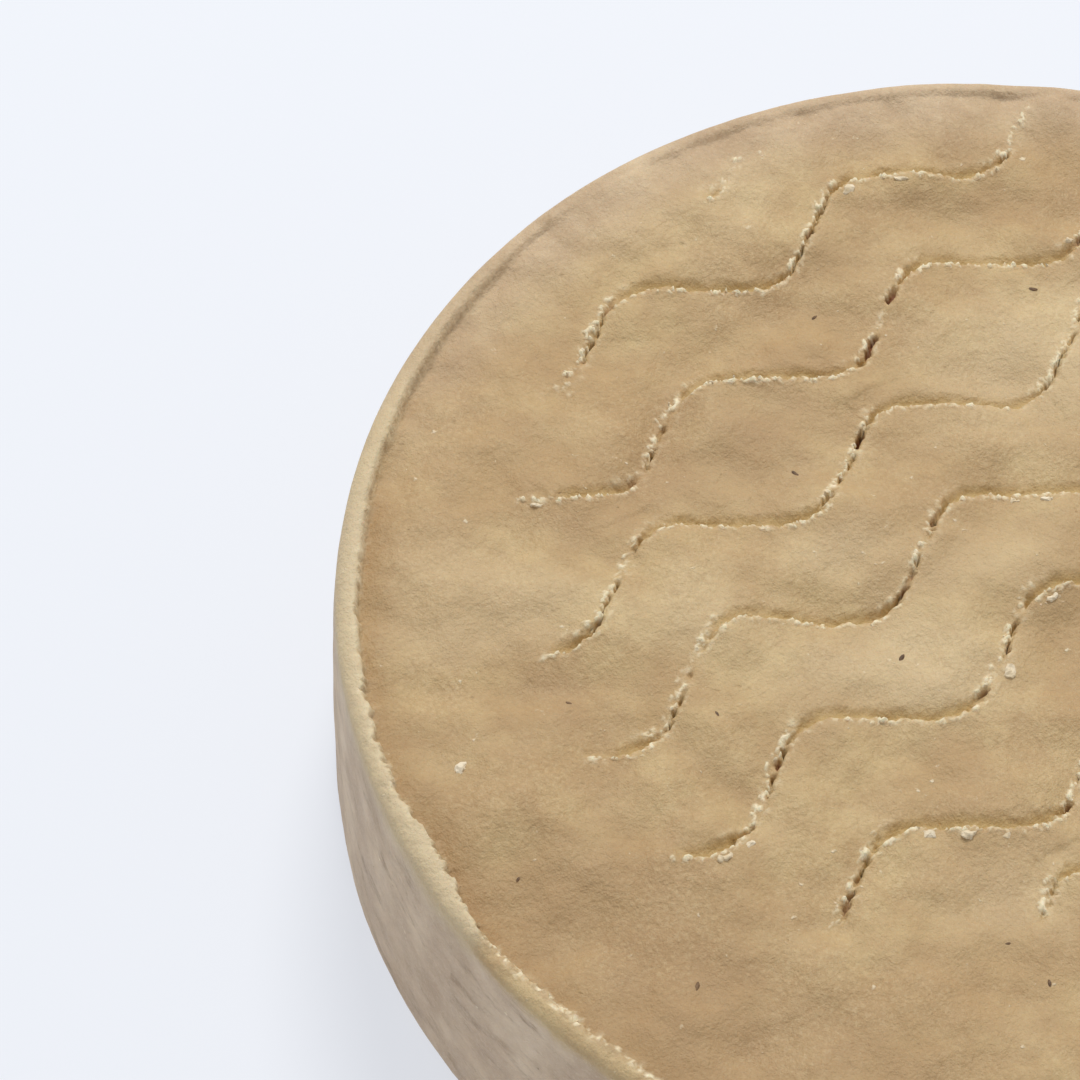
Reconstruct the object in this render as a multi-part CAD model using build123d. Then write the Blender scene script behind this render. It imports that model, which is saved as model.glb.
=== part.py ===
from build123d import *

import math
import os

# Shaving soap puck: a pressed disc of hard soap with a raised rim and wavy grooves on its face.
#
# Frame: millimetres, +Z up, origin at the centre of the flat underside. The rows of waves run
# along X and are stacked along Y. The puck itself is one pressed piece of soap. The other solids
# are the crumbs torn up beside the grooves and the dark flecks that sit in the face.

# Overall
puck_diameter = 76.4  # at the foot of the wall
puck_height = 16.5  # to the crest of the rim

# Wall
foot_round = 1.5  # edge round between the underside and the wall
shoulder_round = 0.9  # edge round between the wall and the crest of the rim
wall_draft = 0.2  # how much further out the wall stands at its foot than at its shoulder

# Rim round the face
rim_crest = 0.3  # flat top of the rim
rim_step = 0.7  # drop from the crest to the edge of the face
rim_slope = 0.15  # how far the step leans inwards on its way down
face_crown = 0.4  # how much higher the face is at its middle than at its edge

# Waves
wave_length = 15.8
wave_slope = 34.0  # degrees, of each flank to its row
bend_radius = 3.8
groove_depth = 1.0  # below the middle of the face
groove_floor = 0.3
groove_mouth = 0.6  # width at the level of the middle of the face

# Each row, from the far one to the near one: its place along Y, where a rising flank crosses
# it, and where it starts and ends along X. The crossing is in millimetres. The rest are shares
# of the radius of the face, because the stamp is cut to suit the mould.
wave_rows = (
    (0.944, 5.7, 0.0, 0.165),
    (0.75, 5.4, -0.38, 0.6),
    (0.546, 5.0, -0.545, 0.71),
    (0.347, 12.8, -0.68, 0.765),
    (0.147, 12.3, -0.737, 0.79),
    (-0.06, 12.2, -0.737, 0.78),
    (-0.276, 11.6, -0.6, 0.68),
    (-0.467, 2.4, -0.355, 0.545),
    (-0.677, 3.0, -0.165, 0.33),
)

# Crumbs that the press tore up: the row each one lies beside, its place along X as a share of
# the radius of the face, and the lip it lies on, which is 1 for the far lip and -1 for the near.
crumb_size = (0.8, 0.5, 0.4)
crumb_sink = 0.12  # how far a crumb is pressed into the lip
crumb_gap = 0.05  # from the mouth of the groove to the crumb
crumb_chip = 0.1  # size of the chipped corners
crumb_spots = (
    (1, 0.245, -1),
    (1, 0.338, -1),
    (2, -0.518, -1),
    (2, 0.486, 1),
    (4, -0.879, 1),
    (4, 0.093, -1),
    (4, 0.136, -1),
    (5, -0.655, -1),
    (5, -0.617, -1),
    (5, -0.126, -1),
    (5, 0.016, -1),
    (6, -0.382, -1),
    (6, -0.336, -1),
    (6, -0.289, -1),
)

# Dark flecks that lie flush in the face: the row each one is reckoned from, its place along X as
# a share of the radius of the face, how far beyond that row's line it lies, and its turn in
# degrees.
fleck_size = (0.55, 0.22, 0.22)
fleck_chip = 0.05
pocket_reach = 0.5  # how far above the face the pocket of a fleck is cut
fleck_spots = (
    (6, -0.808, -0.9, 45),
    (1, 0.055, -3.1, 10),
    (4, -0.524, -2.6, 80),
    (3, -0.688, -3.7, 120),
    (4, -0.235, -3.2, 30),
    (7, -0.404, 1.4, 150),
    (7, -0.398, -1.8, 65),
    (3, -0.161, 2.8, 100),
    (5, -0.914, 1.6, 20),
    (2, 0.374, -2.3, 140),
)

foot_radius = puck_diameter / 2
shoulder_radius = foot_radius - wall_draft
face_radius = shoulder_radius - shoulder_round - rim_crest - rim_slope
face_edge_height = puck_height - rim_step
face_middle_height = face_edge_height + face_crown
groove_bottom = face_middle_height - groove_depth
half_wave = wave_length / 2
wave_rise = half_wave / 2 * math.tan(math.radians(wave_slope))


def quarter_round(middle, radius, start, end):
    """An outward edge round about its middle, from one angle to another."""
    swing = math.radians((start + end) / 2)
    ends = [
        (middle[0] + radius * math.cos(math.radians(a)), middle[1] + radius * math.sin(math.radians(a)))
        for a in (start, end)
    ]
    through = (middle[0] + radius * math.cos(swing), middle[1] + radius * math.sin(swing))
    return ThreePointArc(ends[0], through, ends[1])


def face_height(x, y):
    """Height of the plain face over a point."""
    dome = (face_radius**2 + face_crown**2) / (2 * face_crown)
    return face_middle_height - dome + math.sqrt(dome**2 - x**2 - y**2)


def turned_blank():
    """The puck before its waves are pressed: its half section, turned about Z."""
    foot_middle = (foot_radius - foot_round, foot_round)
    shoulder_middle = (shoulder_radius - shoulder_round, puck_height - shoulder_round)
    crest_inside = (shoulder_middle[0] - rim_crest, puck_height)
    face_edge = (face_radius, face_edge_height)
    # On the dome itself, so that the turned face is part of a ball centred on the axis.
    face_halfway = (face_radius / 2, face_height(face_radius / 2, 0))
    face_middle = (0, face_middle_height)
    with BuildPart() as blank:
        with BuildSketch(Plane.XZ):
            with BuildLine():
                Line((0, 0), (foot_middle[0], 0))
                foot = quarter_round(foot_middle, foot_round, -90, 0)
                shoulder = quarter_round(shoulder_middle, shoulder_round, 0, 90)
                Line(foot @ 1, shoulder @ 0)
                Line(shoulder @ 1, crest_inside)
                Line(crest_inside, face_edge)
                ThreePointArc(face_edge, face_halfway, face_middle)
                Line(face_middle, (0, 0))
            make_face()
        revolve(axis=Axis.Z)
    return blank.part


def row_place(across, rising, left, right):
    """A row of the table in millimetres."""
    return across * face_radius, rising, left * face_radius, right * face_radius


def wave_point(row, x):
    """Where a row's line stands along Y at one X, and its direction in degrees."""
    across, rising = row_place(*wave_rows[row])[:2]
    steps = math.floor((x - rising) / half_wave)
    side = 1 if steps % 2 == 0 else -1
    aside = x - (rising + (steps + 0.5) * half_wave)
    slope = math.radians(wave_slope)
    if abs(aside) > bend_radius * math.sin(slope):
        height = wave_rise - abs(aside) * math.tan(slope)
        turn = -math.copysign(wave_slope, aside)
    else:
        height = wave_rise - bend_radius / math.cos(slope) + math.sqrt(bend_radius**2 - aside**2)
        turn = -math.degrees(math.asin(aside / bend_radius))
    return across + side * height, side * turn


def groove_section():
    """The groove's cross section: X across it, and Y up from its floor."""
    rise = puck_height - groove_bottom
    lean = (groove_mouth - groove_floor) / 2 / groove_depth
    floor = groove_floor / 2
    top = floor + lean * rise
    return make_face(Polyline((-floor, 0), (floor, 0), (top, rise), (-top, rise), close=True))


def groove(across, rising, left, right):
    """The cutter of one row: the section swept along its rounded zigzag, cut off at both ends."""
    first = math.floor((left - rising) / half_wave) - 1
    last = math.ceil((right - rising) / half_wave) + 1
    corners = [
        (rising + (n + 0.5) * half_wave, across + wave_rise * (-1) ** n, groove_bottom)
        for n in range(first, last + 1)
    ]
    path = FilletPolyline(*corners, radius=bend_radius)
    start = Plane(origin=path @ 0, x_dir=Vector(0, 0, 1).cross(path % 0), z_dir=path % 0)
    swept = sweep(start * groove_section(), path=path)
    reach = Box(right - left, 4 * wave_rise, puck_height)
    return swept & Pos((left + right) / 2, across, groove_bottom) * reach


def crumb(row, share, lip):
    """One crumb: a chipped block beside its groove, in line with it and bedded in the lip."""
    x = share * face_radius
    y, turn = wave_point(row, x)
    aside = lip * (groove_mouth / 2 + crumb_gap + crumb_size[1] / 2)
    x -= aside * math.sin(math.radians(turn))
    y += aside * math.cos(math.radians(turn))
    block = Box(*crumb_size)
    block = chamfer(block.edges().filter_by(Axis.Z), crumb_chip)
    block = chamfer(block.faces().sort_by(Axis.Z)[-1].edges(), crumb_chip)
    height = face_height(x, y) + crumb_size[2] / 2 - crumb_sink
    return Pos(x, y, height) * Rot(0, 0, turn) * block


def sliver(height):
    """The outline of a fleck, raised to a height from its underside."""
    block = Pos(0, 0, height / 2) * Box(fleck_size[0], fleck_size[1], height)
    return chamfer(block.edges().filter_by(Axis.Z), fleck_chip)


def fleck_bed(row, share, beyond, turn):
    """Where the underside of a fleck lies when its top is flush with the face."""
    x = share * face_radius
    y = wave_point(row, x)[0] + beyond
    return Pos(x, y, face_height(x, y) - fleck_size[2]) * Rot(0, 0, turn)


def main():
    puck = turned_blank()
    for row in wave_rows:
        puck -= groove(*row_place(*row))
    crumbs = [crumb(*spot) for spot in crumb_spots]
    flecks = [fleck_bed(*spot) * sliver(fleck_size[2]) for spot in fleck_spots]
    pockets = [fleck_bed(*spot) * sliver(fleck_size[2] + pocket_reach) for spot in fleck_spots]
    for piece in crumbs + pockets:
        puck -= piece
    os.makedirs("parts", exist_ok=True)
    export_step(puck, "parts/soap_puck.step")
    export_step(Compound(children=crumbs), "parts/groove_crumbs.step")
    export_step(Compound(children=flecks), "parts/dark_flecks.step")


main()
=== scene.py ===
"""Shaving soap puck: a pressed cake of soap with a ragged rim and torn wavy grooves.

The shape comes from a turned blank that a Geometry Nodes tree works over: it presses the waves,
raises the rim and makes the faces uneven. Further trees scatter the torn crumbs and the flecks.
Sizes are in millimetres where they are named, and MM turns them into the scene's metres.
"""

import math

import bpy
import numpy as np
from mathutils import Matrix, Vector


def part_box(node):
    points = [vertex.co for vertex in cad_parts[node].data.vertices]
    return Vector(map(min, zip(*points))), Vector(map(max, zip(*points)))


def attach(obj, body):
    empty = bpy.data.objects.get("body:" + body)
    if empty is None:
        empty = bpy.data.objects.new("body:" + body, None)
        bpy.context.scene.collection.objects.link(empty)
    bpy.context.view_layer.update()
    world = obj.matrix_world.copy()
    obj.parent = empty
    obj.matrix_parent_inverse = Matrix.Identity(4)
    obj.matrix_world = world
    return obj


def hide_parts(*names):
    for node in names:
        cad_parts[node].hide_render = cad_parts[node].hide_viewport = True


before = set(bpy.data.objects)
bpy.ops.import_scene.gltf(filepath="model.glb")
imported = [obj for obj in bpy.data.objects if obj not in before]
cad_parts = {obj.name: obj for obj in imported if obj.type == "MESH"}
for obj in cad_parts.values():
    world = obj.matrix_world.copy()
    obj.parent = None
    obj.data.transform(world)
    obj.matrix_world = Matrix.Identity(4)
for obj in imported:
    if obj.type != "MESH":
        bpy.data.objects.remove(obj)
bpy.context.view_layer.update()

MM = 0.001

# ---------------------------------------------------------------------------- sizes of the puck
PUCK_LOW, PUCK_HIGH = (Vector(corner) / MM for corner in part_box("soap_puck"))
FOOT_RADIUS = (PUCK_HIGH.x - PUCK_LOW.x) / 2
PUCK_HEIGHT = PUCK_HIGH.z
WALL_DRAFT = 0.2
SHOULDER_ROUND = 0.9
FOOT_ROUND = 1.5
FACE_DROP = 0.7  # from the rim's crest to the edge of the face
FACE_CROWN = 0.35
CREST_EDGE = FOOT_RADIUS - WALL_DRAFT - SHOULDER_ROUND  # where the shoulder starts
RIM_INSIDE = 36.75  # mean radius of the ragged inner edge of the rim

WAVE_LENGTH = 15.8
WAVE_SLOPE = math.radians(34)
BEND_RADIUS = 3.8
# Each row, far one first: its place along Y, where a rising flank crosses it, both ends along
# X, and how hard it was pressed.
WAVE_ROWS = (
    (34.6, 5.7, 0.0, 6.0, 0.45),
    (27.5, 5.4, -14.0, 22.0, 0.8),
    (20.0, 5.0, -20.0, 26.0, 1.0),
    (12.7, 12.8, -25.0, 28.0, 1.0),
    (5.4, 12.3, -27.0, 29.0, 1.0),
    (-2.2, 12.2, -27.0, 28.5, 1.0),
    (-10.1, 11.6, -22.0, 25.0, 1.0),
    (-17.1, 2.4, -13.0, 20.0, 0.9),
    (-24.8, 3.0, -6.0, 12.0, 0.7),
)
# The stamp slid this way as it was pulled out, so a groove gapes where it runs across it.
STAMP_SLIDE = Vector((0.56, 0.83, 0.0))
FLATTENED_SIDE = (0.47, 0.88, 0.0)
WORN_SIDE = (-0.891, -0.454, 0.0)

# Soft hollows and swells that handling left in the face: place, half length, half width, the
# turn of the long side in degrees, and height.
SOFT_MARKS = (
    (-12.4, 18.4, 2.6, 1.1, 34, -0.45),
    (-7.4, 22.0, 1.9, 1.4, 60, -0.4),
    (14.0, 24.2, 6.5, 1.2, -30, -0.5),
    (4.5, 25.0, 3.0, 1.2, -40, -0.3),
    (-27.0, 10.0, 5.0, 0.9, -30, -0.35),
    (-21.4, 0.4, 2.4, 0.8, -78, -0.35),
    (-6.3, 16.6, 3.2, 1.8, 20, -0.3),
    (-18.2, 14.5, 1.2, 3.6, 20, -0.3),
    (-11.0, 6.0, 1.1, 2.8, 30, -0.25),
    (-3.0, -1.0, 1.2, 2.6, 20, -0.2),
    (-31.0, -5.0, 5.0, 4.0, -60, -0.25),
    (8.5, 13.0, 3.4, 1.4, -20, -0.3),
    (15.0, 4.0, 1.5, 3.5, 30, -0.3),
    (20.0, -8.0, 4.0, 1.5, -35, -0.35),
    (4.0, -19.0, 3.5, 2.0, 10, -0.3),
    (-16.2, 9.6, 2.2, 2.6, 30, 0.4),
    (-22.8, 14.6, 3.4, 2.4, -30, 0.35),
    (-7.6, 8.2, 3.0, 1.7, -20, 0.3),
    (-0.6, 2.6, 3.2, 1.8, -20, 0.25),
    (-12.2, 2.2, 3.4, 1.6, -15, 0.25),
    (-28.0, 17.0, 4.5, 2.5, 50, 0.3),
    (2.5, 30.5, 4.0, 1.8, 20, 0.3),
    (22.0, 12.0, 3.0, 2.5, 0, 0.3),
    (12.0, -12.0, 3.5, 2.0, 30, 0.3),
)

# Broad patches of colour in the face, laid out the same way: paler above 0 and browner below. Many
# sit on the hollows and swells above and add painted shade and light to them.
TINTS = (
    (-32.0, -8.0, 6.0, 10.0, 20, -1.0),
    (-24.0, -16.0, 7.0, 5.0, -20, -0.6),
    (-6.0, 17.0, 7.0, 3.0, 20, -0.7),
    (8.0, 23.5, 9.0, 2.6, -25, -0.8),
    (-13.0, 19.0, 3.0, 2.0, 30, -0.7),
    (-30.0, 9.0, 6.0, 2.0, -30, -0.6),
    (-17.5, 16.0, 2.0, 5.0, 20, -0.4),
    (16.0, 28.0, 1.2, 1.2, 0, -1.2),
    (-2.0, 26.0, 3.0, 1.5, 0, -0.5),
    (-15.5, 10.5, 2.6, 4.0, 30, 0.3),
    (-27.2, 17.5, 4.0, 3.5, -30, -0.7),
    (-9.0, 7.0, 5.0, 3.0, -20, 0.2),
    (1.0, 3.0, 6.0, 3.0, -20, 0.2),
    (-12.0, 1.5, 6.0, 3.0, -15, 0.3),
    (-14.5, -15.0, 6.0, 3.5, 0, 0.8),
    (-7.7, -0.9, 3.0, 2.5, -20, 1.1),
    (-6.9, 14.8, 3.0, 2.5, 0, -0.5),
    (0.0, 32.0, 6.0, 2.5, 0, 0.6),
    (12.0, 14.0, 7.0, 5.0, 0, 1.1),
    (18.0, -4.0, 8.0, 5.0, 30, 0.5),
    (8.0, -22.0, 9.0, 5.0, -10, -0.5),
    (27.0, 10.0, 4.0, 8.0, 0, -0.5),
)

SEED = 7

# Fineness of the puck's mesh: cells along one side of the grid that its top is bent from, and
# the triangles that are left of it.
FACE_CELLS = 512
PUCK_TRIANGLES = 190000

# ------------------------------------------------------------------------------ floor and lights
FLOOR_HALF = 1.2  # metres
FLOOR_COLOUR = (0.25, 0.258, 0.27, 1.0)
FLOOR_GLOW = (0.90, 0.93, 1.0, 1.0)
FLOOR_GLOW_STRENGTH = 0.65
ROOM_COLOUR = (0.93, 0.96, 1.0, 1.0)
ROOM_STRENGTH = 0.55
WINDOW_PLACE = (0.3, 0.42, 0.66)  # metres
WINDOW_SIZE = 0.3  # metres
WINDOW_POWER = 4.6  # watts
WINDOW_COLOUR = (1.0, 0.98, 0.95)

# --------------------------------------------------------------------------------------- camera
CAMERA_PLACE = Vector((-98.1, -88.1, 192.0))
CAMERA_AIM = Vector((-20.65, 17.45, 16.5))
CAMERA_ROLL = math.radians(2.42)
CAMERA_LENS = 133.3
CAMERA_SENSOR = 36.0


# ------------------------------------------------------------------------- wiring up node trees
class Wire:
    """One output of a node. Sums on wires and numbers add the Math nodes that do them."""

    def __init__(self, board, socket):
        self.board = board
        self.socket = socket

    def _maths(self, operation, *terms):
        return self.board.add(
            "ShaderNodeMath", {"operation": operation}, dict(enumerate(terms))
        )

    def __add__(self, other):
        return self._maths("ADD", self, other)

    def __sub__(self, other):
        return self._maths("SUBTRACT", self, other)

    def __mul__(self, other):
        return self._maths("MULTIPLY", self, other)

    def __truediv__(self, other):
        return self._maths("DIVIDE", self, other)

    def __pow__(self, other):
        return self._maths("POWER", self, other)

    def __neg__(self):
        return self._maths("MULTIPLY", self, -1.0)

    def __rsub__(self, other):
        return self._maths("SUBTRACT", other, self)

    def __rtruediv__(self, other):
        return self._maths("DIVIDE", other, self)

    __radd__ = __add__
    __rmul__ = __mul__

    def least(self, other):
        return self._maths("MINIMUM", self, other)

    def most(self, other):
        return self._maths("MAXIMUM", self, other)

    def size(self):
        return self._maths("ABSOLUTE", self)

    def sign(self):
        return self._maths("SIGN", self)


class Board:
    """A node tree that is wired up from Python."""

    def __init__(self, tree):
        self.tree = tree

    def add(self, kind, settings=None, links=None, output=0):
        """Adds a node: its settings first, then the values or wires of its sockets."""
        node = self.tree.nodes.new(kind)
        for name, value in (settings or {}).items():
            setattr(node, name, value)
        self.link(node, links or {})
        return Wire(self, node.outputs[output]) if len(node.outputs) else node

    def link(self, node, links):
        for name, value in links.items():
            if isinstance(value, Wire):
                self.tree.links.new(value.socket, node.inputs[name])
            else:
                node.inputs[name].default_value = value

    def also(self, wire, output):
        """Another output of the node that a wire comes from."""
        return Wire(self, wire.socket.node.outputs[output])

    def vector(self, operation, *terms, output="Vector", scale=None):
        links = dict(enumerate(terms))
        if scale is not None:
            links["Scale"] = scale
        return self.add("ShaderNodeVectorMath", {"operation": operation}, links, output)

    def ramp_between(self, value, low, high, start=0.0, end=1.0, smooth=True):
        """A value that goes from start to end as another goes from low to high."""
        kind = "SMOOTHSTEP" if smooth else "LINEAR"
        return self.add(
            "ShaderNodeMapRange",
            {"interpolation_type": kind, "clamp": True},
            {"Value": value, "From Min": low, "From Max": high, "To Min": start, "To Max": end},
        )

    def noise(self, place, grain, seed, detail=2.0, roughness=0.5, stretch=None):
        """Noise between about -0.5 and 0.5 with lumps of one size in millimetres."""
        spread = stretch or (1.0, 1.0, 1.0)
        scaled = self.vector("MULTIPLY", place, tuple(s / grain for s in spread))
        noise = self.add(
            "ShaderNodeTexNoise",
            {"noise_dimensions": "4D"},
            {
                "Vector": scaled,
                "W": seed * 3.7 + SEED,
                "Scale": 1.0,
                "Detail": detail,
                "Roughness": roughness,
            },
        )
        return noise - 0.5


def geometry_board(name, inputs):
    """A new Geometry Nodes tree with named inputs: (board, {name: wire}, output node)."""
    tree = bpy.data.node_groups.new(name, "GeometryNodeTree")
    tree.interface.new_socket("Geometry", in_out="INPUT", socket_type="NodeSocketGeometry")
    tree.interface.new_socket("Geometry", in_out="OUTPUT", socket_type="NodeSocketGeometry")
    for label, (kind, value) in inputs.items():
        socket = tree.interface.new_socket(label, in_out="INPUT", socket_type=kind)
        if value is not None and hasattr(socket, "default_value"):
            socket.default_value = value
    board = Board(tree)
    start = tree.nodes.new("NodeGroupInput")
    end = tree.nodes.new("NodeGroupOutput")
    wires = {s.name: Wire(board, s) for s in start.outputs if s.name}
    return board, wires, end


def worked(piece, tree, name, values=None, thin_to=None):
    """The plain mesh object that a tree makes of a piece, thinned to a number of triangles."""
    modifier = piece.modifiers.new(name, "NODES")
    modifier.node_group = tree
    for item in tree.interface.items_tree:
        if item.item_type == "SOCKET" and item.in_out == "INPUT" and item.name in (values or {}):
            modifier[item.identifier] = values[item.name]
    depsgraph = bpy.context.evaluated_depsgraph_get()
    mesh = bpy.data.meshes.new_from_object(
        piece.evaluated_get(depsgraph), preserve_all_data_layers=True, depsgraph=depsgraph
    )
    piece.modifiers.remove(modifier)
    mesh.name = name
    result = bpy.data.objects.new(name, mesh)
    bpy.context.scene.collection.objects.link(result)
    bpy.data.objects.remove(piece)
    if thin_to:
        thin(result, thin_to)
    return result


def thin(piece, triangles):
    """Takes out the triangles that matter least until a number is left."""
    piece.data.calc_loop_triangles()
    count = len(piece.data.loop_triangles)
    modifier = piece.modifiers.new("thin", "DECIMATE")
    modifier.ratio = min(1.0, triangles / count)
    modifier.use_collapse_triangulate = True
    depsgraph = bpy.context.evaluated_depsgraph_get()
    mesh = bpy.data.meshes.new_from_object(
        piece.evaluated_get(depsgraph), preserve_all_data_layers=True, depsgraph=depsgraph
    )
    piece.modifiers.remove(modifier)
    piece.data = mesh


def new_object(name, verts, faces=(), edges=()):
    mesh = bpy.data.meshes.new(name)
    mesh.from_pydata([tuple(v) for v in verts], edges, faces)
    mesh.update()
    piece = bpy.data.objects.new(name, mesh)
    bpy.context.scene.collection.objects.link(piece)
    return piece


# ------------------------------------------------------------------------------ the plain blank
def arc_points(middle, radius, start, end, steps):
    """Points of an edge round, from one angle to another, without the first one."""
    angles = np.radians(np.linspace(start, end, steps + 1)[1:])
    return [(middle[0] + radius * math.cos(a), middle[1] + radius * math.sin(a)) for a in angles]


def wall_profile():
    """(radius, height) from the crest's outer edge down the wall and in under the foot."""
    shoulder = arc_points((CREST_EDGE, PUCK_HEIGHT - SHOULDER_ROUND), SHOULDER_ROUND, 90, 0, 9)
    top = shoulder[-1]
    foot_middle = (FOOT_RADIUS - FOOT_ROUND, FOOT_ROUND)
    wall_steps = 34
    wall = [
        (
            top[0] + (FOOT_RADIUS - top[0]) * s / wall_steps,
            top[1] + (FOOT_ROUND - top[1]) * s / wall_steps,
        )
        for s in range(1, wall_steps + 1)
    ]
    foot = arc_points(foot_middle, FOOT_ROUND, 0, -90, 9)
    underside = [(foot_middle[0] * (1 - s / 9), 0.0) for s in range(1, 9)]
    return shoulder + wall + foot + underside


def ring_spacing(share):
    """Radius of a ring of the top: even over the face and closer at the ragged rim."""
    bend = 0.955
    close = CREST_EDGE - 2.0
    if share < bend:
        return close * share / bend
    return close + (CREST_EDGE - close) * (share - bend) / (1 - bend)


def turned_blank(cells):
    """A closed disc: a square grid bent round into the top, then rings down to the underside."""
    line = np.linspace(-1, 1, cells + 1)
    a, b = np.meshgrid(line, line, indexing="ij")
    share = np.maximum(np.abs(a), np.abs(b))
    along_a = np.abs(a) >= np.abs(b)
    with np.errstate(divide="ignore", invalid="ignore"):
        turn = np.where(along_a, math.pi / 4 * b / a, math.pi / 2 - math.pi / 4 * a / b)
    turn = np.nan_to_num(turn)
    turn = turn + np.where(along_a & (a < 0), math.pi, 0) + np.where(~along_a & (b < 0), math.pi, 0)
    radius = np.vectorize(ring_spacing)(share)
    height = PUCK_HEIGHT - FACE_DROP + FACE_CROWN * (1 - (radius / RIM_INSIDE) ** 2)
    top = np.stack([radius * np.cos(turn), radius * np.sin(turn), height], axis=-1)
    number = np.arange((cells + 1) ** 2).reshape(cells + 1, cells + 1)
    quads = [
        np.stack([number[:-1, :-1], number[1:, :-1], number[1:, 1:], number[:-1, 1:]], axis=-1)
    ]
    rim = np.concatenate([number[:-1, 0], number[-1, :-1], number[:0:-1, -1], number[0, :0:-1]])
    flat = top.reshape(-1, 3)
    directions = flat[rim, :2] / np.linalg.norm(flat[rim, :2], axis=1)[:, None]
    verts = [flat]
    lift = [np.ones(len(flat))]
    last, total = rim, len(flat)
    profile = wall_profile()
    for radius, height in profile:
        ring = np.concatenate([directions * radius, np.full((len(rim), 1), height)], axis=1)
        verts.append(ring)
        fade = (height - (PUCK_HEIGHT - 2.4)) / 2.4
        lift.append(np.full(len(rim), min(1.0, max(0.0, fade))))
        ids = total + np.arange(len(rim))
        quads.append(
            np.stack([last, ids, np.roll(ids, -1), np.roll(last, -1)], axis=-1)[None]
        )
        last, total = ids, total + len(rim)
    verts.append(np.array([[0.0, 0.0, 0.0]]))
    lift.append(np.zeros(1))
    faces = np.concatenate([q.reshape(-1, 4) for q in quads]).tolist()
    faces += [(int(i), total, int(j)) for i, j in zip(last, np.roll(last, -1))]
    blank = new_object("blank", np.concatenate(verts) * MM, faces)
    carried = {
        "lift": np.concatenate(lift),
        "upper": np.arange(total + 1) < len(flat),
        "mark": soft_spots(SOFT_MARKS, flat, total + 1),
        "tint": soft_spots(TINTS, flat, total + 1),
    }
    for name, values in carried.items():
        blank.data.attributes.new(name, "FLOAT", "POINT").data.foreach_set("value", values)
    return blank


def soft_spots(table, top, count):
    """The sum of a table's soft spots at each point: none of them is off the top."""
    height = np.zeros(count)
    for x, y, long, short, turn, rise in table:
        turn = math.radians(turn)
        aside = top[:, :2] - (x, y)
        along = (aside[:, 0] * math.cos(turn) + aside[:, 1] * math.sin(turn)) / long
        across = (aside[:, 1] * math.cos(turn) - aside[:, 0] * math.sin(turn)) / short
        height[: len(top)] += rise * np.exp(-(along**2 + across**2) / 2)
    return height


# -------------------------------------------------------------------------------- the wave lines
def wave_height(x, rising):
    """Where the wave stands beside its row at each x, and its slope."""
    half = WAVE_LENGTH / 2
    steps = np.floor((x - rising) / half)
    side = np.where(steps % 2 == 0, 1.0, -1.0)
    aside = x - (rising + (steps + 0.5) * half)
    rise = half / 2 * math.tan(WAVE_SLOPE)
    on_flank = np.abs(aside) > BEND_RADIUS * math.sin(WAVE_SLOPE)
    bent = np.sqrt(np.maximum(BEND_RADIUS**2 - aside**2, 0.01))
    height = np.where(
        on_flank,
        rise - np.abs(aside) * math.tan(WAVE_SLOPE),
        rise - BEND_RADIUS / math.cos(WAVE_SLOPE) + bent,
    )
    slope = np.where(on_flank, -np.sign(aside) * math.tan(WAVE_SLOPE), -aside / bent)
    return side * height, side * slope


def wave_lines():
    """All the rows as lines of points that carry how hard they were pressed and their normal."""
    points, edges, press, across = [], [], [], []
    for y0, rising, left, right, strength in WAVE_ROWS:
        x = np.arange(left, right, 0.12)
        height, slope = wave_height(x, rising)
        first = len(points)
        points += list(zip(x, y0 + height, np.zeros(len(x))))
        edges += [(first + i, first + i + 1) for i in range(len(x) - 1)]
        ends = np.minimum(x - left, right - x)
        press += list(strength * np.clip(ends / 4.5, 0.0, 1.0) ** 0.7)
        normal = np.stack([-slope, np.ones(len(x)), np.zeros(len(x))], axis=1)
        across += list(normal / np.linalg.norm(normal, axis=1)[:, None])
    lines = new_object("wave_lines", np.array(points) * MM, edges=edges)
    lines.data.attributes.new("press", "FLOAT", "POINT").data.foreach_set("value", press)
    normals = lines.data.attributes.new("across", "FLOAT_VECTOR", "POINT")
    normals.data.foreach_set("vector", np.array(across).ravel())
    return lines


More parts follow.
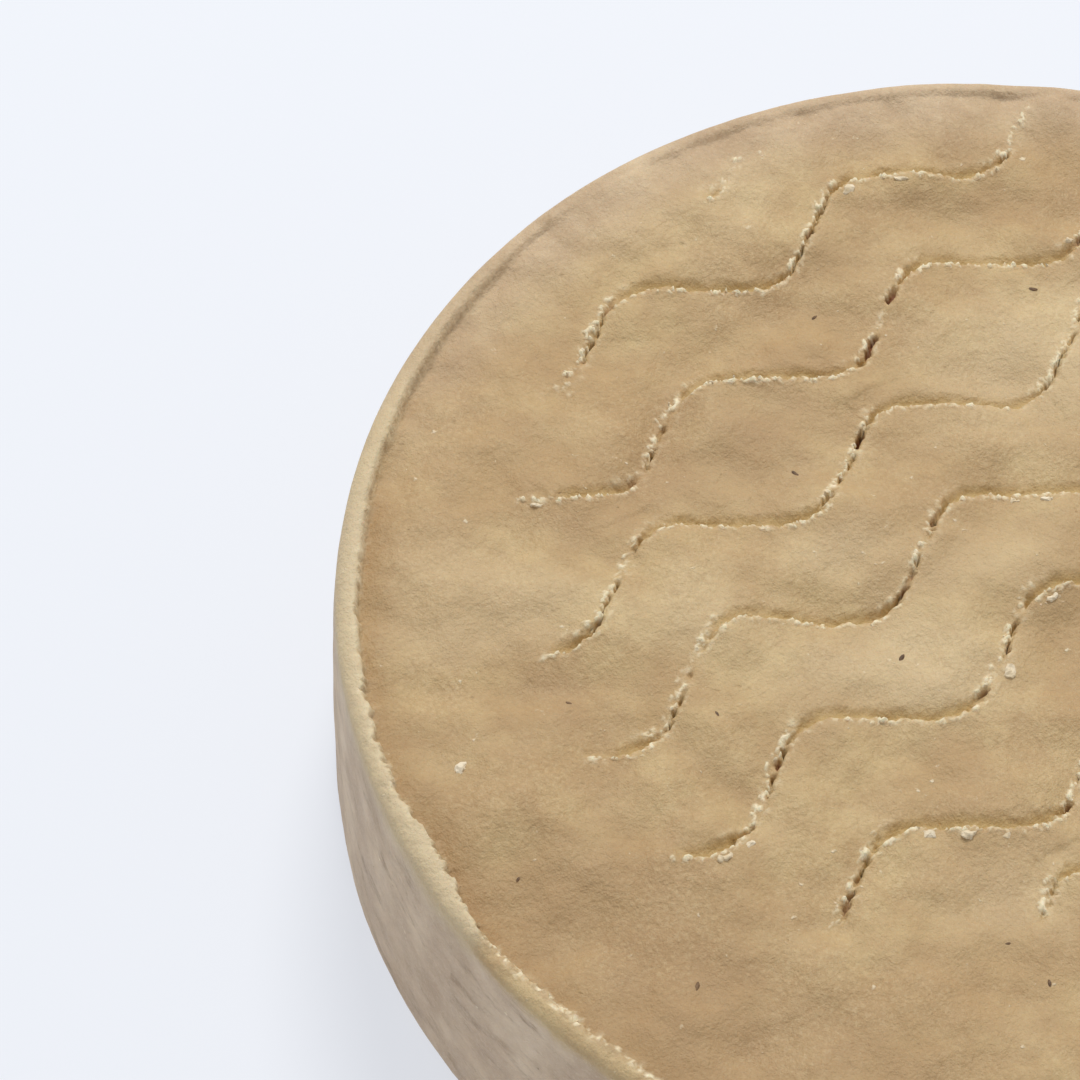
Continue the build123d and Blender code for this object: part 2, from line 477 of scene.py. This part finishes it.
# --------------------------------------------------------------------------- pressing the waves
def pressing_tree():
    """Presses the waves into the face, raises the ragged rim and makes all the faces uneven."""
    number = "NodeSocketFloat"
    board, given, end = geometry_board(
        "press_the_puck",
        {
            "Wave lines": ("NodeSocketObject", None),
            "Groove depth": (number, 0.85),
            "Groove gape": (number, 0.62),
            "Burr height": (number, 0.27),
            "Face lumps": (number, 1.5),
            "Rim height": (number, 0.68),
            "Rim raggedness": (number, 0.9),
            "Wall lumps": (number, 0.35),
            "Material": ("NodeSocketMaterial", None),
        },
    )
    place_m = board.add("GeometryNodeInputPosition")
    place = board.vector("SCALE", place_m, scale=1 / MM)
    xyz = board.add("ShaderNodeSeparateXYZ", None, {"Vector": place})
    x, y = xyz, board.also(xyz, "Y")
    flat_m = board.add(
        "ShaderNodeCombineXYZ", None, {"X": x * MM, "Y": y * MM, "Z": 0.0}
    )
    flat = board.vector("SCALE", flat_m, scale=1 / MM)
    radius = board.vector("LENGTH", flat, output="Value")
    lift = board.add(
        "GeometryNodeInputNamedAttribute", {"data_type": "FLOAT"}, {"Name": "lift"}, "Attribute"
    )

    lines = board.add(
        "GeometryNodeObjectInfo", None, {"Object": given["Wave lines"]}, "Geometry"
    )
    near = board.add(
        "GeometryNodeProximity",
        {"target_element": "EDGES"},
        {0: lines, "Source Position": flat_m},
        "Position",
    )
    distance = board.also(near, "Distance") / MM
    index = board.add(
        "GeometryNodeSampleNearest", {"domain": "POINT"},
        {"Geometry": lines, "Sample Position": flat_m},
    )
    press = board.add(
        "GeometryNodeSampleIndex",
        {"data_type": "FLOAT", "domain": "POINT"},
        {
            "Geometry": lines,
            "Value": board.add(
                "GeometryNodeInputNamedAttribute", {"data_type": "FLOAT"}, {"Name": "press"}
            ),
            "Index": index,
        },
    )
    across = board.add(
        "GeometryNodeSampleIndex",
        {"data_type": "FLOAT_VECTOR", "domain": "POINT"},
        {
            "Geometry": lines,
            "Value": board.add(
                "GeometryNodeInputNamedAttribute",
                {"data_type": "FLOAT_VECTOR"},
                {"Name": "across"},
            ),
            "Index": index,
        },
    )
    aside = board.vector("SUBTRACT", flat_m, near)
    side = board.vector("DOT_PRODUCT", aside, across, output="Value").sign()
    gape = board.vector("DOT_PRODUCT", across, tuple(STAMP_SLIDE), output="Value").size()

    # The edges of a groove wander and crumble. It gapes where the stamp slid across it, and is
    # a thin slit with a few pockets where the stamp slid along it.
    gaping = board.ramp_between(gape, 0.45, 1.0)
    wander = board.noise(flat, 2.4, 1) * 0.5 + board.noise(flat, 0.6, 2, 3.0, 0.7) * 0.9
    signed = distance * side + wander
    slit = 1 - gaping
    pocket = board.ramp_between(board.noise(flat, 2.2, 3, 1.0), 0.04, 0.14)
    ajar = gaping + slit * board.ramp_between(board.noise(flat, 1.5, 32, 1.0), -0.09, 0.08)
    far_width = 0.12 + pocket * 0.22 * slit + given["Groove gape"] * gaping
    near_width = 0.12
    far_wall = board.ramp_between(signed / far_width, -0.1, 1.25, 1.0, 0.0)
    near_wall = board.ramp_between(-signed / near_width, 0.2, 1.0, 1.0, 0.0)
    hold = board.ramp_between(press + board.noise(flat, 2.6, 4, 2.0) * 1.5, 0.15, 0.75)
    cut = far_wall * near_wall * hold * ajar
    uneven = 1 + board.noise(flat, 1.3, 5) * 1.4
    groove = cut * given["Groove depth"] * uneven * (1 - gaping * 0.55)

    # Torn soap stands up along the near lip where the groove gapes, and along the far one where
    # it is a slit. The face rolls down into it from the far side and swells on the near one.
    crumble = board.ramp_between(board.noise(flat, 0.42, 6, 3.0, 0.75), -0.04, 0.12)
    stretch = board.ramp_between(board.noise(flat, 2.4, 7, 2.0), -0.12, 0.06)
    near_lip = board.ramp_between((signed + near_width + 0.12).size(), 0.05, 0.27, 1.0, 0.0)
    far_lip = board.ramp_between((signed - far_width - 0.12).size(), 0.05, 0.36, 1.0, 0.0)
    still_torn = board.ramp_between(press + board.noise(flat, 1.8, 33, 2.0), 0.02, 0.3)
    torn = (near_lip * (0.2 + 0.8 * gaping) + far_lip * slit) * crumble * still_torn
    torn = torn * (0.3 + 0.7 * stretch)
    burr = torn * given["Burr height"] * (1 + board.noise(flat, 0.5, 34, 2.0) * 2.0)
    roll = board.ramp_between(distance, 0.2, 2.8, 1.0, 0.0) * hold
    swell = roll * board.ramp_between(signed, -0.4, 0.4, 0.1, -0.16)

    mark = board.add(
        "GeometryNodeInputNamedAttribute", {"data_type": "FLOAT"}, {"Name": "mark"}
    )
    lumps = mark + (
        board.noise(flat, 14.0, 8, 1.0) * 0.8
        + board.noise(flat, 6.5, 9, 1.0) * 1.4
        + board.noise(flat, 3.2, 10, 1.0) * 0.5
        + board.noise(flat, 0.8, 11, 2.0) * 0.1
    ) * given["Face lumps"]

    # The rim: a thin crest whose inner edge is broken away in places. It has been pressed flat
    # along the far side, and it is worn low along one stretch.
    outward = board.vector("NORMALIZE", flat)
    to_flat_side = board.vector("DOT_PRODUCT", outward, FLATTENED_SIDE, output="Value")
    to_worn_side = board.vector("DOT_PRODUCT", outward, WORN_SIDE, output="Value")
    flattened = board.ramp_between(to_flat_side, 0.1, 0.85)
    ragged = board.ramp_between(to_flat_side, -0.3, 0.25, 1.0, 0.22)
    worn = board.ramp_between(to_worn_side, 0.903, 0.921)
    keep = (1 - flattened) * (1 - worn * 0.8)
    heaped = flattened * board.ramp_between(radius, 26.0, RIM_INSIDE)
    heaped = heaped * given["Rim height"] * 0.75
    chips = (
        board.noise(flat, 4.5, 12, 2.0) * 2.2 + board.noise(flat, 1.0, 13, 3.0, 0.7) * 1.8
    ) * given["Rim raggedness"] * ragged
    rim_edge = board.ramp_between(radius + chips, RIM_INSIDE - 0.06, RIM_INSIDE + 0.16)
    rim_top = given["Rim height"] * (1 - worn * 0.55) * (1 + board.noise(flat, 9.0, 14, 1.0) * 0.4)
    rim_top = rim_top + board.noise(flat, 1.6, 15, 3.0, 0.6) * 0.5 * ragged
    upper = board.add(
        "GeometryNodeInputNamedAttribute", {"data_type": "FLOAT"}, {"Name": "upper"}
    )
    rise = lift * (
        (lumps + heaped + swell - groove + burr) * (1 - rim_edge * 0.8)
        + rim_edge * (rim_top - heaped * 0.2 - FACE_DROP * (1 - upper))
    )
    on_face = 1 - rim_edge
    wall_edge = lift + board.noise(place, 1.2, 20, 2.0) * 0.5
    off_lip = (radius + chips - RIM_INSIDE - 0.15).size()
    broken_lip = board.ramp_between(off_lip, 0.05, 0.4, 1.0, 0.0)
    broken_lip = broken_lip * crumble * (0.25 + worn * 0.75) * (1 - flattened) * lift
    # Painted shade: a band of the face just inside the rim, which the material darkens where the
    # rim shades it.
    beside_rim = board.ramp_between(radius + chips, 33.8, RIM_INSIDE - 0.1) * (1 - flattened)

    # The wall is faintly lumpy, with pits.
    wall_lumps = (
        board.noise(place, 13.0, 16, 1.0) * 1.6
        + board.noise(place, 3.5, 17, 2.0) * 0.5
        + board.noise(place, 0.8, 18, 2.0) * 0.14
    ) * given["Wall lumps"]
    pits = board.ramp_between(board.noise(place, 1.4, 19, 1.0), 0.26, 0.36) * 0.22
    out = (wall_lumps - pits) * (1 - lift)
    spread = out / radius.most(5.0)
    shift = board.add(
        "ShaderNodeCombineXYZ", None, {"X": x * spread, "Y": y * spread, "Z": rise}
    )
    moved = board.add(
        "GeometryNodeSetPosition",
        None,
        {"Geometry": given["Geometry"], "Offset": board.vector("SCALE", shift, scale=MM)},
    )
    for name, value in {
        "torn": (torn * on_face).most(broken_lip),
        "beside_rim": beside_rim * on_face,
        # cut and pocket also carry the groove's painted shade to the material.
        "cut": cut * on_face,
        "pocket": cut * pocket * slit * on_face,
        "crest": rim_edge * lift * keep,
        "wall": (1 - board.ramp_between(wall_edge, 0.35, 0.8)).most(
            flattened * board.ramp_between(radius, 31.0, 37.0) * 0.6
        ),
    }.items():
        moved = board.add(
            "GeometryNodeStoreNamedAttribute",
            {"data_type": "FLOAT", "domain": "POINT"},
            {"Geometry": moved, "Name": name, "Value": value},
        )
    solid = board.add("GeometryNodeRealizeInstances", None, {"Geometry": moved})
    coated = board.add(
        "GeometryNodeSetMaterial", None, {"Geometry": solid, "Material": given["Material"]}
    )
    board.link(end, {"Geometry": coated})
    return board.tree


# ------------------------------------------------------------------------------------ materials
def new_material(name):
    material = bpy.data.materials.new(name)
    material.use_nodes = True
    material.node_tree.nodes.clear()
    return material, Board(material.node_tree)


def finish_surface(board, links):
    """The shader and the output of a material."""
    shader = board.add("ShaderNodeBsdfPrincipled", None, links)
    board.add("ShaderNodeOutputMaterial", None, {"Surface": shader})


def mix_colours(board, factor, low, high):
    node = board.tree.nodes.new("ShaderNodeMix")
    node.data_type = "RGBA"
    node.clamp_factor = True
    board.link(node, {0: factor, 6: low, 7: high})
    return Wire(board, node.outputs[2])


def srgb(red, green, blue):
    """A colour given on a 0 to 255 scale, as the shader wants it."""
    def linear(value):
        value /= 255
        return value / 12.92 if value <= 0.04045 else ((value + 0.055) / 1.055) ** 2.4

    return (linear(red), linear(green), linear(blue), 1.0)


def attribute_wire(board, name):
    return board.add("ShaderNodeAttribute", {"attribute_name": name}, None, "Fac")


def soap_material():
    """Hard tan soap: mottled, fine grained and greyer on the wall. Painted light and shade: paler
    where it is torn, partly as a painted highlight; darker in the grooves and beside the rim; paler
    on the swells and browner in the hollows of the face.
    """
    material, board = new_material("tan_soap")
    place_m = board.add("ShaderNodeTexCoord", None, None, "Object")
    place = board.vector("SCALE", place_m, scale=1 / MM)
    mottle = board.ramp_between(board.noise(place, 6.0, 21, 2.0), -0.14, 0.14)
    patch = board.ramp_between(board.noise(place, 3.0, 22, 3.0, 0.65), -0.18, 0.2)
    mark = attribute_wire(board, "mark")
    tint = attribute_wire(board, "tint")
    pale, brown = srgb(216, 193, 151), srgb(174, 141, 100)
    colour = mix_colours(board, mottle, srgb(188, 157, 112), srgb(204, 177, 129))
    colour = mix_colours(board, patch * 0.75, colour, srgb(181, 148, 104))
    # Painted light and shade: the face is painted paler on its soft swells and browner in its soft
    # hollows, following their height.
    colour = mix_colours(board, board.ramp_between(mark, 0.0, 0.4) * 0.5, colour, pale)
    colour = mix_colours(board, board.ramp_between(-mark, 0.0, 0.4) * 0.45, colour, brown)
    # Broad patches of colour, partly painted shade and light over the hollows and swells.
    colour = mix_colours(board, board.ramp_between(tint, 0.0, 1.2) * 0.6, colour, pale)
    colour = mix_colours(board, board.ramp_between(-tint, 0.0, 1.2) * 0.6, colour, brown)
    grain = board.ramp_between(board.noise(place, 0.28, 23, 4.0, 0.8), -0.2, 0.2)
    gritty = board.ramp_between(board.noise(place, 5.0, 35, 2.0), -0.12, 0.16, 0.15, 0.5)
    colour = mix_colours(board, (grain - 0.5) * gritty, colour, srgb(228, 207, 164))
    colour = mix_colours(board, (0.5 - grain) * gritty, colour, srgb(158, 126, 84))
    around = board.add(
        "ShaderNodeCombineXYZ", None,
        {"X": bearing(board, place) * 12.0, "Y": height_of(board, place), "Z": 0.0},
    )
    streak = board.ramp_between(board.noise(around, 1.3, 24, 4.0, 0.7), 0.0, 0.25)
    # The wall and the flattened far edge of the face are given a greyer, paler mottled colour than
    # the face.
    wall_mottle = board.ramp_between(board.noise(place, 4.0, 31, 3.0, 0.6), -0.2, 0.2)
    wall_colour = mix_colours(board, wall_mottle, srgb(192, 166, 138), srgb(220, 197, 168))
    wall_colour = mix_colours(board, streak * 0.9, wall_colour, srgb(148, 122, 94))
    wall_colour = mix_colours(board, patch * 0.4, wall_colour, srgb(164, 138, 112))
    wall_colour = mix_colours(board, (grain - 0.5) * 0.5, wall_colour, srgb(228, 209, 178))
    # Painted shade: the face is painted darker brown just inside the rim.
    beside_rim = attribute_wire(board, "beside_rim") * 0.45
    colour = mix_colours(board, beside_rim, colour, srgb(160, 124, 80))
    colour = mix_colours(board, attribute_wire(board, "wall"), colour, wall_colour)
    colour = mix_colours(board, attribute_wire(board, "crest") * 0.7, colour, srgb(222, 205, 170))
    # Painted shade: the groove is painted a darker, more olive tan and the deep pockets of its
    # slits a dark red-brown, standing in for the shade inside them.
    colour = mix_colours(board, attribute_wire(board, "cut") * 1.1, colour, srgb(190, 160, 104))
    colour = mix_colours(board, attribute_wire(board, "pocket") * 1.4, colour, srgb(132, 82, 48))
    # Torn lips and burrs are painted near-white: partly the paler torn soap, partly a painted
    # highlight where they face the light.
    colour = mix_colours(board, attribute_wire(board, "torn") * 1.9, colour, srgb(240, 225, 190))
    fleck = board.ramp_between(board.noise(place, 0.55, 25, 2.0), 0.2, 0.3)
    colour = mix_colours(board, fleck * 0.75, colour, srgb(238, 222, 190))
    speck = board.ramp_between(board.noise(place, 0.5, 26, 2.0), 0.22, 0.32)
    colour = mix_colours(board, speck * 0.6, colour, srgb(128, 96, 62))
    height = (
        board.noise(place, 0.24, 27, 3.0, 0.75) * 0.11
        + board.noise(place, 0.9, 28, 3.0, 0.65) * 0.16
        - speck * 0.04
        + fleck * 0.04
    )
    bump = board.add("ShaderNodeBump", None, {"Strength": 1.0, "Distance": MM, "Height": height})
    rough = board.ramp_between(board.noise(place, 3.0, 30, 2.0), -0.3, 0.3, 0.52, 0.68)
    finish_surface(
        board,
        {
            "Base Color": colour,
            "Roughness": rough,
            "Normal": bump,
            "Subsurface Weight": 0.12,
            "Subsurface Radius": (1.0, 0.6, 0.3),
            "Subsurface Scale": 0.0008,
            "IOR": 1.45,
        },
    )
    return material


def bearing(board, place):
    """The angle of a place round the puck, in radians."""
    xyz = board.add("ShaderNodeSeparateXYZ", None, {"Vector": place})
    return board.add(
        "ShaderNodeMath", {"operation": "ARCTAN2"}, {0: board.also(xyz, "Y"), 1: xyz}
    )


def height_of(board, place):
    return board.add("ShaderNodeSeparateXYZ", None, {"Vector": place}, "Z")


def crumb_material():
    """Torn soap that has dried out: pale and powdery."""
    material, board = new_material("dry_crumb")
    place_m = board.add("ShaderNodeTexCoord", None, None, "Object")
    place = board.vector("SCALE", place_m, scale=1 / MM)
    tone = board.ramp_between(board.noise(place, 0.7, 41, 3.0, 0.6), -0.2, 0.2)
    colour = mix_colours(board, tone, srgb(218, 197, 160), srgb(236, 222, 196))
    bump = board.add(
        "ShaderNodeBump", None,
        {"Strength": 0.8, "Distance": MM, "Height": board.noise(place, 0.15, 42, 3.0) * 0.04},
    )
    rough = board.ramp_between(board.noise(place, 0.5, 43), -0.3, 0.3, 0.7, 0.9)
    finish_surface(board, {"Base Color": colour, "Roughness": rough, "Normal": bump})
    return material


def fleck_material():
    """Dark plant matter."""
    material, board = new_material("plant_fleck")
    place_m = board.add("ShaderNodeTexCoord", None, None, "Object")
    place = board.vector("SCALE", place_m, scale=1 / MM)
    tone = board.ramp_between(board.noise(place, 0.2, 51, 2.0), -0.2, 0.2)
    colour = mix_colours(board, tone, srgb(86, 62, 40), srgb(128, 98, 64))
    bump = board.add(
        "ShaderNodeBump", None,
        {"Strength": 0.6, "Distance": MM, "Height": board.noise(place, 0.1, 52, 2.0) * 0.03},
    )
    rough = board.ramp_between(board.noise(place, 0.3, 53), -0.3, 0.3, 0.55, 0.8)
    finish_surface(board, {"Base Color": colour, "Roughness": rough, "Normal": bump})
    return material


# ----------------------------------------------------------------------------------- the pieces
def make_puck():
    cells = FACE_CELLS
    lines = wave_lines()
    puck = worked(
        turned_blank(cells), pressing_tree(), "pressed_puck",
        {"Wave lines": lines, "Material": soap_material()},
        thin_to=PUCK_TRIANGLES,
    )
    bpy.data.objects.remove(lines)
    puck.data.polygons.foreach_set("use_smooth", [True] * len(puck.data.polygons))
    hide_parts("soap_puck")
    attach(puck, "root")
    return puck


def spots_of(node):
    """(centre, turn) of each separate solid of a CAD node, from the corners of its mesh."""
    corners = np.array([vertex.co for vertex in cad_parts[node].data.vertices]) / MM
    spots = []
    while len(corners):
        close = np.linalg.norm(corners - corners[0], axis=1) < 1.0
        group = corners[close]
        corners = corners[~close]
        centre = (group.min(axis=0) + group.max(axis=0)) / 2
        spread = (group - group.mean(axis=0))[:, :2]
        long_side = np.linalg.eigh(spread.T @ spread)[1][:, 1]
        spots.append((centre, math.atan2(long_side[1], long_side[0])))
    return spots


def scattering_tree(name):
    """Sets chips of one kind on a surface: one at each given point, and many where it is torn."""
    number = "NodeSocketFloat"
    board, given, end = geometry_board(
        name,
        {
            "Surface": ("NodeSocketObject", None),
            "Chip length": (number, 0.8),
            "Chip width": (number, 0.5),
            "Chip height": (number, 0.4),
            "Chip roughness": (number, 0.3),
            "Sink": (number, 0.1),
            "Loose per area": (number, 0.0),
            "Loose size": (number, 0.3),
            "Material": ("NodeSocketMaterial", None),
        },
    )
    surface = board.add("GeometryNodeObjectInfo", None, {"Object": given["Surface"]}, "Geometry")
    place = board.add("GeometryNodeInputPosition")
    hit = board.add(
        "GeometryNodeRaycast",
        {"data_type": "FLOAT"},
        {
            "Target Geometry": surface,
            "Source Position": board.vector("ADD", place, (0.0, 0.0, 0.01)),
            "Ray Direction": (0.0, 0.0, -1.0),
            "Ray Length": 0.02,
        },
        "Hit Position",
    )
    dropped = board.add(
        "GeometryNodeSetPosition", None, {"Geometry": given["Geometry"], "Position": hit}
    )
    chip = board.add("GeometryNodeMeshIcoSphere", None, {"Radius": 0.5 * MM, "Subdivisions": 3})
    turn = board.add(
        "GeometryNodeInputNamedAttribute", {"data_type": "FLOAT"}, {"Name": "turn"}
    )
    size = board.add("FunctionNodeRandomValue", {"data_type": "FLOAT"}, {
        2: 0.75, 3: 1.25, "Seed": SEED}, 1)
    shape = board.add(
        "ShaderNodeCombineXYZ", None,
        {"X": given["Chip length"], "Y": given["Chip width"], "Z": given["Chip height"]},
    )
    placed = board.add(
        "GeometryNodeInstanceOnPoints", None,
        {
            "Points": dropped,
            "Instance": chip,
            "Rotation": board.add("ShaderNodeCombineXYZ", None, {"X": 0.0, "Y": 0.0, "Z": turn}),
            "Scale": board.vector("SCALE", shape, scale=size),
        },
    )
    grit = board.add("GeometryNodeMeshIcoSphere", None, {"Radius": 0.5 * MM, "Subdivisions": 1})
    torn = board.add(
        "GeometryNodeInputNamedAttribute", {"data_type": "FLOAT"}, {"Name": "torn"}
    )
    loose = board.add(
        "GeometryNodeDistributePointsOnFaces",
        {"distribute_method": "RANDOM"},
        {
            "Mesh": surface,
            "Density": board.ramp_between(torn, 0.25, 0.9) * given["Loose per area"],
            "Seed": SEED,
        },
        "Points",
    )
    any_turn = board.add("FunctionNodeRandomValue", {"data_type": "FLOAT_VECTOR"}, {
        0: (0.0, 0.0, 0.0), 1: (6.28, 6.28, 6.28), "Seed": SEED + 1}, 0)
    any_size = board.add("FunctionNodeRandomValue", {"data_type": "FLOAT_VECTOR"}, {
        0: (0.35, 0.35, 0.3), 1: (1.0, 0.8, 0.7), "Seed": SEED + 2}, 0)
    sprinkled = board.add(
        "GeometryNodeInstanceOnPoints", None,
        {
            "Points": loose,
            "Instance": grit,
            "Rotation": any_turn,
            "Scale": board.vector("SCALE", any_size, scale=given["Loose size"]),
        },
    )
    joined = board.add("GeometryNodeJoinGeometry")
    for wire in (placed, sprinkled):
        board.tree.links.new(wire.socket, joined.socket.node.inputs[0])
    solid = board.add("GeometryNodeRealizeInstances", None, {"Geometry": joined})
    there = board.vector("SCALE", place, scale=1 / MM)
    jut = board.vector(
        "SUBTRACT",
        board.add(
            "ShaderNodeTexNoise", {"noise_dimensions": "4D"},
            {"Vector": there, "W": 9.0, "Scale": 2.4, "Detail": 2.0}, "Color",
        ),
        (0.5, 0.5, 0.5),
    )
    rough = board.add(
        "GeometryNodeSetPosition", None,
        {
            "Geometry": solid,
            "Offset": board.vector(
                "SUBTRACT",
                board.vector("SCALE", jut, scale=given["Chip roughness"] * MM),
                board.add("ShaderNodeCombineXYZ", None, {"Z": given["Sink"] * MM}),
            ),
        },
    )
    whole = board.add("GeometryNodeRealizeInstances", None, {"Geometry": rough})
    coated = board.add(
        "GeometryNodeSetMaterial", None, {"Geometry": whole, "Material": given["Material"]}
    )
    board.link(end, {"Geometry": coated})
    return board.tree


def make_chips(node, slot_name, puck, material, **sizes):
    """The visible pieces of a CAD node of small solids, each set on the puck's real surface."""
    spots = spots_of(node)
    points = new_object(f"{node}_points", [centre * MM for centre, _ in spots])
    turns = points.data.attributes.new("turn", "FLOAT", "POINT")
    turns.data.foreach_set("value", [turn for _, turn in spots])
    values = {name.replace("_", " ").capitalize(): value for name, value in sizes.items()}
    values |= {"Surface": puck, "Material": material}
    chips = worked(points, scattering_tree(f"scatter_{node}"), f"scattered_{node}", values)
    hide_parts(node)
    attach(chips, "root")


# --------------------------------------------------------------------------------- floor, lights
def make_floor():
    half = FLOOR_HALF
    floor = new_object(
        "floor",
        [(-half, -half, 0), (half, -half, 0), (half, half, 0), (-half, half, 0)],
        [(0, 1, 2, 3)],
    )
    material, board = new_material("pale_floor")
    finish_surface(
        board,
        {
            "Base Color": FLOOR_COLOUR,
            "Roughness": 0.8,
            "Emission Color": FLOOR_GLOW,
            "Emission Strength": FLOOR_GLOW_STRENGTH,
        },
    )
    floor.data.materials.append(material)


def soft_light(name, place, aim, size, power, colour):
    data = bpy.data.lights.new(name, "AREA")
    data.shape = "DISK"
    data.size = size
    data.energy = power
    data.color = colour
    light = bpy.data.objects.new(name, data)
    light.location = place
    light.rotation_euler = (Vector(aim) - Vector(place)).to_track_quat("-Z", "Y").to_euler()
    bpy.context.scene.collection.objects.link(light)


def make_lights():
    world = bpy.data.worlds.new("studio")
    bpy.context.scene.world = world
    world.use_nodes = True
    background = world.node_tree.nodes["Background"]
    background.inputs["Color"].default_value = ROOM_COLOUR
    background.inputs["Strength"].default_value = ROOM_STRENGTH
    soft_light("window", WINDOW_PLACE, (0, 0, 0), WINDOW_SIZE, WINDOW_POWER, WINDOW_COLOUR)


def make_camera():
    data = bpy.data.cameras.new("camera")
    data.sensor_width = CAMERA_SENSOR
    data.lens = CAMERA_LENS
    data.clip_start = 0.01
    camera = bpy.data.objects.new("camera", data)
    aim, place = CAMERA_AIM * MM, CAMERA_PLACE * MM
    camera.location = place
    view = (aim - place).to_track_quat("-Z", "Y")
    roll = Matrix.Rotation(CAMERA_ROLL, 4, "Z")
    camera.rotation_euler = (view.to_matrix().to_4x4() @ roll).to_euler()
    bpy.context.scene.collection.objects.link(camera)
    bpy.context.scene.camera = camera


bpy.context.scene.view_settings.view_transform = "Standard"
puck = make_puck()
make_chips(
    "groove_crumbs", "crumb", puck, crumb_material(),
    chip_length=0.8, chip_width=0.42, chip_height=0.34, chip_roughness=0.6, sink=0.04,
    loose_per_area=2.5e6, loose_size=0.34,
)
make_chips(
    "dark_flecks", "fleck", puck, fleck_material(),
    chip_length=0.5, chip_width=0.2, chip_height=0.1, chip_roughness=0.12, sink=0.01,
)
make_floor()
make_lights()
make_camera()
